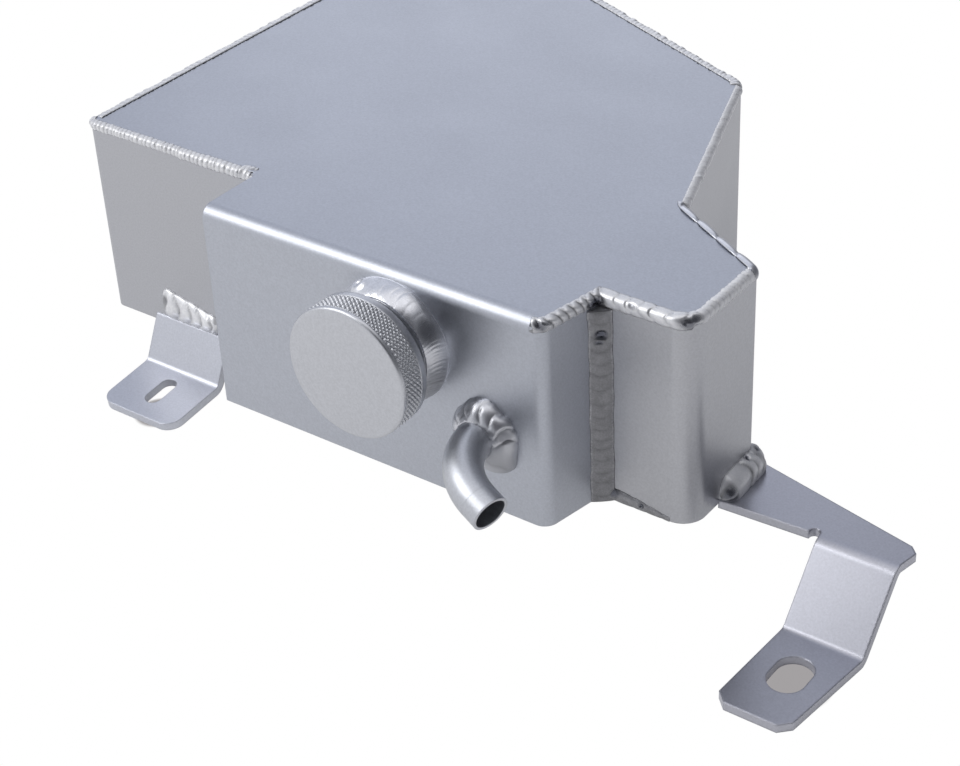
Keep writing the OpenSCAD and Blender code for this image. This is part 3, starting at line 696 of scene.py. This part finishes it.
def top_seam(node, material, path, seed, pitch, depth, inboard=const(0.6), leg=const(3.4),
             crown=const(1.7), step=STATION, limit=proud_limit, **more):
    """A bead along the top edge, by its reach over the plate and down the wall."""
    stations = resampled(path, step)
    root = [(-LAP, TANK_H - ROOT_IN), (-LAP, WALL_H - ROOT_IN), (-ROOT_IN, WALL_H - ROOT_IN)]
    bead(node, material, plan_frames(stations), [q[2] for q in stations], root,
         toe_a=lambda s: (0.0, TANK_H - leg(s)), toe_b=lambda s: (-LAP - inboard(s), TANK_H),
         crown=crown, seed=seed, pitch=pitch, depth=depth, limit=limit, **more)


def make_top_seams(material, satin):
    step = ([run_end(FRONT_LEFT)] + corner(FRONT_RIGHT) + corner(STEP) + corner(SIDE)
            + [run_end(SIDE)])
    at_step, at_side = length_to(step, PLAN[STEP]), length_to(step, PLAN[SIDE])
    total = resampled(step)[-1][2]

    # Painted shade: creases shaded more before the step's corner, a light dulling shade from there
    # to the side's corner
    def step_tone(s, t, look):
        crease, pool, gloss, _ = look
        if s > at_side + 3:
            return crease * 0.5, pool, 0.0, 0.0
        if s > at_step:
            return crease * 0.5, pool, gloss, 0.1
        return crease * 1.5, pool, gloss, 0.0

    top_seam("weld_top_step", material, step, 11,
             stepped((at_step, 3.1), (at_side, 5.0), (total, 2.3)),
             stepped((at_step, 0.8), (at_side, 0.34), (total, 0.35)), step=0.3,
             inboard=stepped((at_step, 0.5), (at_side, 1.3), (total, 1.5)),
             leg=stepped((at_step, 3.9), (at_side, 4.3), (total, 2.8)),
             crown=stepped((3.0, 1.1), (at_step, 1.95), (at_side, 2.2), (total, 1.6)),
             bow=stepped((at_step, 0.6), (at_side, -3.0), (total, 0.8)),
             slant=stepped((at_step, 3.4), (at_side, 0.0), (total, 1.2)),
             ridge=0.13, scallop=0.3, tone=step_tone,
             pits=[(3.6, 0.42, 2.6, 0.42, 0.4, 0.8), (at_step - 2.0, 0.30, 3.8, 0.34, 0.3, 1.0),
                   (at_step + 11.5, 0.50, 1.2, 0.20, 0.3, 0.7),
                   (at_side - 0.2, 0.34, 3.8, 0.36, 0.5, 0.85)])
    shoulder = [run_end(SIDE)] + corner(SHOULDER) + corner(WAIST)
    top_seam("weld_top_shoulder", satin, shoulder, 12, const(11.5), const(0.7),
             inboard=const(1.5), leg=const(3.0), crown=const(1.8), bow=const(3.0), spread=0.1,
             scallop=0.6,
             # Painted shade dulls and darkens the bead from its wall side up to near the plate
             tone=lambda s, t, look: (0.25 * look[0], look[1], look[2], 0.8 if t < 0.78 else 0.0))
    tail = [run_start(WAIST), run_end(WAIST)]
    top_seam("weld_top_tail", material, tail, 13, const(1.9), const(0.3), scallop=0.25,
             inboard=const(0.4), crown=lambda s: 1.6 + 0.15 * math.sin(s / 14),
             slant=const(2.4), tone=lambda s, t, look: (0.45 * look[0], look[1], 0.0, 0.0))
    rear = [run_end(WAIST)] + corner(TAIL) + [run_end(TAIL)]
    top_seam("weld_top_rear", material, rear, 14, const(2.3), const(0.45), inboard=const(2.6),
             scallop=0.35, crown=const(2.0), tone=frosted, limit=flush_limit)
    left = [run_end(TAIL)] + corner(FAR) + [run_end(FAR)]
    top_seam("weld_top_left", material, left, 15, const(2.4), const(0.45), inboard=const(2.6),
             scallop=0.35, crown=const(2.0), tone=frosted, limit=flush_limit)
    wing = [run_end(FAR)] + corner(WING) + [run_end(WING)]
    total = resampled(wing)[-1][2]
    top_seam("weld_top_wing", material, wing, 16, const(1.9), const(0.5), step=0.3,
             inboard=stepped((total - 22, 0.5), (total - 6, 0.9), (total, 2.6)),
             leg=stepped((total - 34, 2.8), (total, 3.3)), scallop=0.3, bow=const(0.5),
             tone=frosted, pits=[(total - 1.2, 0.55, 1.5, 0.3, 0.3, 0.8)])


def evenly(total, step=STATION):
    count = round(total / step)
    return [total * k / count for k in range(count + 1)]


def upright_frames(point, lengths):
    return [((*point, SEAM_FOOT - s), (1.0, 0.0, 0.0), (0.0, 1.0, 0.0)) for s in lengths]


def make_uprights(material, dull_shaded):
    """The bead in the step's corner and the seam on the left side."""
    lengths = evenly(SEAM_FOOT)
    back = along(STEP - 1)

    def leg(s):
        return 4.9 + 0.12 * math.sin(s / 1.9) + 0.1 * math.sin(s / 5.1 + 1) + (s < 3) * 0.3

    bead("weld_step_corner", dull_shaded, upright_frames(PLAN[STEP], lengths), lengths,
         [(-SUNK, SUNK)],
         toe_a=lambda s: (-leg(s) * back[0], -leg(s) * back[1]), toe_b=lambda s: (leg(s + 7), 0.0),
         crown=const(0.35), seed=21, pitch=const(4.6), depth=const(0.2), bow=const(1.8),
         scallop=0.2, ends=(0.5, 0.5),
         pits=[(8.6, 0.52, 1.6, 0.24, 1.1, 1.0), (11.2, 0.44, 0.5, 0.2, 0.4, 0.8)],
         # Painted shade dulls and darkens the middle of the bead, not its edges
         tone=lambda s, t, look: (look[0], look[1], look[2],
                                  0.0 if min(t, 1 - t) < 0.09 else 0.6))
    half = 3.0
    bead("weld_far_seam", material, upright_frames(on_run(FAR, FAR_TAB)[0], lengths), lengths,
         [(SUNK, -half), (SUNK, half)], toe_a=const((0.0, half)), toe_b=const((0.0, -half)),
         crown=const(1.15), seed=22, pitch=const(3.0), depth=const(0.3), bow=const(1.4),
         scallop=0.3, ends=(0.5, 0.5))


def circle_frames(x, z, radius, lengths):
    out = []
    for s in lengths:
        q = s / radius
        out.append(((x, 0.0, z), (math.cos(q), 0.0, math.sin(q)), (0.0, -1.0, 0.0)))
    return out


def make_ring_beads(material):
    """The beads round the neck and round the spigot's root."""
    ring_r = 20.0
    lengths = evenly(2 * math.pi * ring_r, 0.3)

    def face_back(z):
        """How far the front face lies back at a height, in the fold."""
        rise = min(max(0.0, z - (TANK_H - FOLD_R)), FOLD_R)
        return FOLD_R - math.sqrt(FOLD_R ** 2 - rise ** 2)

    def neck_toe(s):
        q = s / ring_r
        reach = 21.3 + 0.2 * math.sin(3 * q + 1) + 0.12 * math.sin(7 * q)
        return reach, -face_back(NECK[1] + reach * math.sin(q))

    def low_share(s):
        """1 round the lower right of the ring, 0 at its top."""
        return min(1.0, max(0.0, 1.6 * math.sin(0.35 - s / ring_r)))

    # Painted shade dulls and darkens the lower right of the ring and deepens its crease shade;
    # gloss goes to its top
    def neck_tone(s, t, look):
        if t < 0.1:
            return 0.0, 0.0, 0.3, 0.0
        low = low_share(s)
        return look[0] * (0.25 + 0.5 * low), look[1], 0.5 * (1 - low), 0.85 * low

    at_blob, at_shade = ring_r * math.radians(116), ring_r * math.radians(32)
    bead("weld_neck", material, circle_frames(*NECK, ring_r, lengths), lengths,
         [(18.3, 7.7), (18.3, -0.9), (20.6, -0.9)], closed=True,
         toe_a=neck_toe, toe_b=const((18.5, 7.8)), crown=const(0.75), seed=31,
         pitch=lambda s: 1.5 if math.sin(s / ring_r) < 0.4 else 3.6,
         depth=lambda s: 0.12 + 0.16 * low_share(s), bow=const(1.4), scallop=0.12,
         tone=neck_tone,
         pits=[(at_blob, 0.40, 3.0, 0.34, -0.8, 0.0), (at_blob + 0.4, 0.42, 1.4, 0.16, 1.1, 0.25),
               (at_shade, 0.55, 4.0, 0.40, 0.25, 0.75)])

    root_r = 10.0
    lengths = evenly(2 * math.pi * root_r, 0.3)

    def away(q, middle, half):
        """Share of a lobe round an angle, in degrees."""
        gap = (math.degrees(q) - middle + 180) % 360 - 180
        return math.exp(-(gap / half) ** 2)

    def lump(q):
        return 0.35 * math.sin(5 * q) + 0.2 * math.sin(9 * q + 2)

    def root_toe(s):
        q = s / root_r
        reach = 11.6 + lump(q) + 3.0 * away(q, -62, 42) - 0.9 * away(q, 170, 50)
        return reach, 0.0

    # Painted shade dulls and darkens the bead, most at its lower right; gloss goes to its top
    def spigot_tone(s, t, look):
        low = away(s / root_r, -50, 75)
        return look[0] * 0.55, look[1], 0.5 * (1 - low), 0.3 + 0.6 * low

    bead("weld_spigot", material, circle_frames(*SPIGOT, root_r, lengths), lengths,
         [(6.2, 4.0), (6.2, 0.0), (10.0, 0.0)], closed=True, across=22, toe_a=root_toe,
         toe_b=lambda s: (6.4, 5.6 + 1.2 * away(s / root_r, 140, 60)),
         crown=lambda s: 1.5 + 0.4 * lump(s / root_r + 1) + 0.5 * away(s / root_r, -60, 50),
         seed=32, pitch=lambda s: 7.5 if s / root_r > 4.5 else 5.5, depth=const(0.45),
         bow=const(2.6), slant=const(2.0), scallop=0.4, tone=spigot_tone,
         pits=[(root_r * 0.35, 0.45, 2.0, 0.28, 0.6, 0.6)])


def make_bracket_beads(material, dull_shaded):
    """The beads over the left bracket, on the right arm and at the foot of the step."""
    left_x, left_w, back, root_z = -57.5, 34.7, PLAN[INNER][1], 3.2
    start, length = left_x + 0.12 * left_w, 0.78 * left_w
    lengths = evenly(length, 0.3)
    frames = [((start + s, back, 0.0), (0.0, -1.0, 0.0), (0.0, 0.0, 1.0)) for s in lengths]
    bead("weld_left_bracket", material, frames, lengths, [(-SUNK, root_z)],
         toe_a=const((SUNK, root_z)), toe_b=lambda s: (0.0, root_z + 12.2 - 5.4 * s / length),
         crown=const(2.0), seed=41, pitch=lambda s: 7.0 - 0.14 * s, depth=const(0.75),
         bow=const(4.2), spread=0.08, scallop=0.35, ends=(3.4, 2.8), heart=(0.0, 8.5),
         pits=[(2.6, 0.66, 1.5, 0.18, 0.8, 0.4), (5.0, 0.40, 2.4, 0.34, -0.3, 0.0)],
         tone=lambda s, t, look: (0.8 * look[0], look[1], look[2], 0.0))
    arm_top, arm_front, past_bend = 1.5, 40.3, 3
    path = ([((PLAN[SIDE][0], arm_front), (1.0, 0.0))] + corner(SHOULDER)
            + [on_run(SHOULDER, past_bend)])
    stations = resampled(path, 0.3)
    bead("weld_right_bracket", material, plan_frames(stations), [q[2] for q in stations],
         [(-SUNK, arm_top - SUNK)], toe_a=lambda s: (4.8 if s < 20 else 4.0, arm_top),
         toe_b=lambda s: (0.0, 8.0 + 1.2 * math.sin(s / 9)),
         crown=const(2.3), seed=42, pitch=lambda s: 11.0 if s < 6 else 3.4,
         depth=lambda s: 0.65 if s < 19 else 0.3, bow=const(3.0), spread=0.06, scallop=0.5,
         ends=(4.0, 3.0), heart=(0.0, arm_top),
         pits=[(1.6, 0.30, 1.8, 0.4, 0.4, 0.85), (15.0, 0.88, 1.0, 0.10, 0.8, 1.0),
               (20.5, 0.80, 1.0, 0.11, 0.7, 1.0)],
         # Painted shade dulls and darkens the bead from the shoulder's bend on
         tone=lambda s, t, look: (look[0], look[1], look[2] - 0.1, 0.85 if s > 18.5 else 0.0))
    foot_start = 0.6
    path = [((PLAN[STEP][0] + foot_start, PLAN[STEP][1]), (0.0, -1.0)), run_end(STEP)]
    stations = resampled(path)
    total = stations[-1][2]
    bead("weld_base_step", dull_shaded, plan_frames(stations), [q[2] for q in stations],
         [(-SUNK, SUNK)], toe_a=const((0.0, 0.0)),
         toe_b=lambda s: (0.0, 4.9 - 3.6 * (s / total) ** 1.5),
         crown=lambda s: 1.3 - 1.0 * s / total, seed=43, pitch=const(6.0), depth=const(0.12),
         bow=const(1.0), scallop=0.25, ends=(1.5, 3.0),
         pits=[(14.4, 0.62, 0.9, 0.22, 0.7, 0.9), (3.6, 0.7, 2.6, 0.3, 0.2, 0.8)],
         # A light painted shade dulls and darkens the whole bead
         tone=lambda s, t, look: (look[0], look[1], 0.4 + 0.4 * look[2], 0.2))


def make_neck(material):
    """The neck turned in one piece, with the cap's thread cut into it."""
    bore, thread, collar, pilot = 14.0, 17.0, 18.6, 16.95
    thread_top, thread_run_out, pitch, groove = -18.0, -8.9, 2.0, 0.85
    turns = 120
    outer = [(bore, 3.5), (pilot, 3.5), (pilot, 0.0), (collar, 0.0), (collar, -7.7),
             (collar - 0.3, -8.0), (thread - 0.6, -8.0), (thread - 0.6, thread_run_out + 0.2)]
    cuts = 84
    rings = []
    for k in range(turns):
        q = 2 * math.pi * k / turns
        ring = list(outer)
        for j in range(cuts + 1):
            y = thread_run_out + (thread_top + 0.5 - thread_run_out) * j / cuts
            f = (y / pitch + k / turns) % 1
            ring.append((thread - groove * min(1.0, max(0.0, 1.25 - 2.5 * abs(2 * f - 1))), y))
        ring += [(thread - 0.5, thread_top), (bore + 0.3, thread_top), (bore, thread_top + 0.3)]
        rings.append([(NECK[0] + r * math.cos(q), y, NECK[1] + r * math.sin(q)) for r, y in ring])
    piece = skin("turned_neck", rings, closed=True)
    sharp = piece.modifiers.new("sharp", "EDGE_SPLIT")
    sharp.split_angle = math.radians(35)
    install(piece, "filler_neck", material)


def turned_mesh(name, rows, columns):
    """A turned solid through rows of radii, one row for each place along the neck's axis.

    A row is a radius, or a radius for each column, and its place. The first and the last
    are points on the axis.
    """
    points = [(NECK[0], rows[0][1], NECK[1]), (NECK[0], rows[-1][1], NECK[1])]
    for radius, y in rows[1:-1]:
        for k in range(columns):
            q = 2 * math.pi * k / columns
            r = radius[k] if isinstance(radius, list) else radius
            points.append((NECK[0] + r * math.cos(q), y, NECK[1] + r * math.sin(q)))
    count = len(rows) - 2
    faces = []
    for k in range(columns):
        n = (k + 1) % columns
        faces.append((0, 2 + k, 2 + n))
        for row in range(count - 1):
            low, high = 2 + row * columns, 2 + (row + 1) * columns
            faces.append((low + k, high + k, high + n, low + n))
        last = 2 + (count - 1) * columns
        faces.append((1, last + n, last + k))
    mesh = bpy.data.meshes.new(name)
    mesh.from_pydata([((p[0] - DATUM[0]) * MM, (p[1] - DATUM[1]) * MM, p[2] * MM) for p in points],
                     [], faces)
    mesh.update()
    mesh.polygons.foreach_set("use_smooth", [True] * len(mesh.polygons))
    piece = bpy.data.objects.new(name, mesh)
    scene.collection.objects.link(piece)
    sharp = piece.modifiers.new("sharp", "EDGE_SPLIT")
    sharp.split_angle = math.radians(38)
    return piece


def make_cap(material):
    """The cap with its knurl cut as full diamonds."""
    front, rear, inner_end, bore = -24.0, -12.2, -19.5, 17.3
    rim, root, chamfer, edge = 22.7, 22.05, 0.55, 0.15
    start, width = -22.3, 7.3
    diamonds, diamond_rows, samples = 76, 5, 7
    columns, lines = diamonds * samples, 2 * diamond_rows * samples // 2

    def tooth(x):
        return 1 - abs(2 * (x % 1) - 1)

    rows = [(0.0, front), (rim - 1.4, front), (rim - chamfer - 0.35, front + 0.12),
            (rim - chamfer, front + edge * 2), (rim - 0.25, front + chamfer + edge),
            (rim - 0.2, start - 0.25), (root, start)]
    for j in range(1, lines):
        v = diamond_rows * j / lines
        radii = []
        for k in range(columns):
            u = k / samples
            rise = min(1.0, 1.5 * min(tooth(u + v), tooth(u - v)))
            radii.append(root + (rim - root) * rise)
        rows.append((radii, start + width * j / lines))
    band = rim - 0.3
    rows += [(root, start + width), (band, start + width + 0.2), (band, rear - 0.5),
             (band - 0.35, rear), (bore + 0.3, rear), (bore, rear - 0.3), (bore, inner_end),
             (0.0, inner_end)]
    install(turned_mesh("knurled_cap", rows, columns), "filler_cap", material, "cap")


add_camera()
add_world()
add_floor()
add_area("key", (-0.52, -0.55, 0.66), 1.1, (0.68, 0.68), 2.55)
add_area("card", (-0.50, 0.80, 0.38), 1.0, (0.75, 0.45), 0.38, (0.96, 0.97, 1.0))

sheet = metal("sheet", (0.52, 0.54, 0.59), 0.40)
# The walls' darker, greyer copy of the sheet's colour is painted shade for the walls that face
# away from the key
wall = metal("wall", (0.51, 0.515, 0.54), 0.40)
turned = metal("turned", (0.60, 0.61, 0.64), 0.36)
tube = metal("tube", (0.58, 0.595, 0.63), 0.38)
bar = metal("bar", (0.59, 0.605, 0.66), 0.38, edge=0.7)
# The right bracket's colour, darker than the left bracket's, is painted shade for its arm beside
# the tank
arm = metal("arm", (0.50, 0.505, 0.555), 0.32, edge=0.9)
weld = weld_metal("weld", (0.90, 0.905, 0.94), 0.36, clear=0.5, mottle=0.14)
satin = weld_metal("satin", (0.80, 0.81, 0.85), 0.32, clear=0.85)
# A darker copy of the bead metal, painted shade for the beads in the step's corner and at its
# foot; it is also rougher and more mottled
dull_shaded = weld_metal("dull_shaded", (0.34, 0.34, 0.355), 0.46, clear=0.85, mottle=0.45, relief=0.06)
rubber, _, rubber_shader, _ = new_material("rubber")
rubber_shader.inputs["Base Color"].default_value = (0.02, 0.02, 0.02, 1)

dressed = {
    "top_front_sheet": sheet, "right_wall_strip": wall, "left_wall_strip": wall,
    "base_plate": wall, "filler_neck": turned, "filler_cap": turned, "cap_seal": rubber,
    "hose_spigot": tube, "pickup_tube": tube, "left_bracket": bar, "right_bracket": arm,
}
for name in nodes:
    dress(name, dressed.get(name, weld))
make_top_seams(weld, satin)
make_uprights(weld, dull_shaded)
make_ring_beads(satin)
make_bracket_beads(weld, dull_shaded)
make_neck(turned)
make_cap(turned)

scene.view_settings.view_transform = "Standard"
